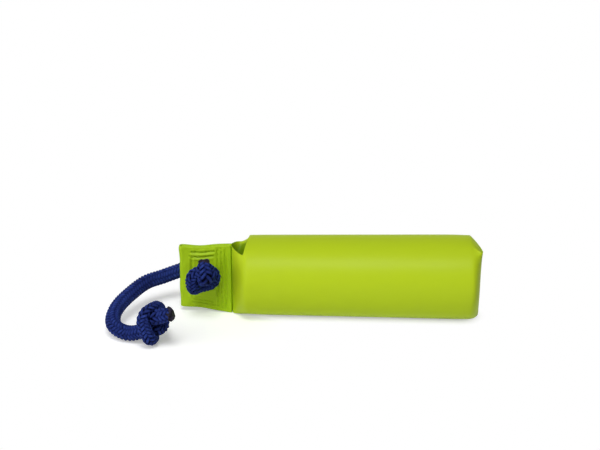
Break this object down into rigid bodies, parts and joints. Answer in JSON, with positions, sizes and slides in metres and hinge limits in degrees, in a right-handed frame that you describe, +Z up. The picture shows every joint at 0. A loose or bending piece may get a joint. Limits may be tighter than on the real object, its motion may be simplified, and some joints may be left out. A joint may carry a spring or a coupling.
{
  "type": "training bumper",
  "caption": "Stuffed coated-fabric retrieving bumper with a flat sewn tab, an eyelet and a short knotted throw rope.",
  "frame": {"origin": "on the floor under the middle of the green body and tab, without the rope", "axes": "+X along the body to its closed end, +Z up, +Y away from the side with the stopper knot"},
  "size_m": [0.2292, 0.0907, 0.0515],
  "materials": {
    "coated_fabric": "coated woven nylon, satin",
    "foam": "closed-cell foam",
    "eyelet_metal": "nickel plated",
    "rope": "braided cord",
    "melted_rope": "melted rope end"
  },
  "bodies": {
    "dummy": {"cover": "coated_fabric", "foam_core": "foam", "neck": "coated_fabric"},
    "tab": {"tab_sleeve": "coated_fabric", "tab_flap": "coated_fabric", "eyelet": "eyelet_metal", "eyelet_washer": "eyelet_metal"},
    "rope": {"throw_rope": "rope", "stopper_knot": "rope", "end_knot": "rope", "sealed_ends": "melted_rope"}
  },
  "joints": [
    {"name": "tab_flex", "type": "hinge", "parent": "dummy", "child": "tab", "pos_m": [-0.0556, 0, 0.02225], "axis": [0, 0, 1], "range_deg": [-30, 15], "stiffness_Nm_per_rad": 0.05, "deforming": ["neck"]},
    {"name": "rope_swivel", "type": "hinge", "parent": "tab", "child": "rope", "pos_m": [-0.0775, 0, 0.02325], "axis": [0, 1, 0], "range_deg": [0, 90]}
  ]
}
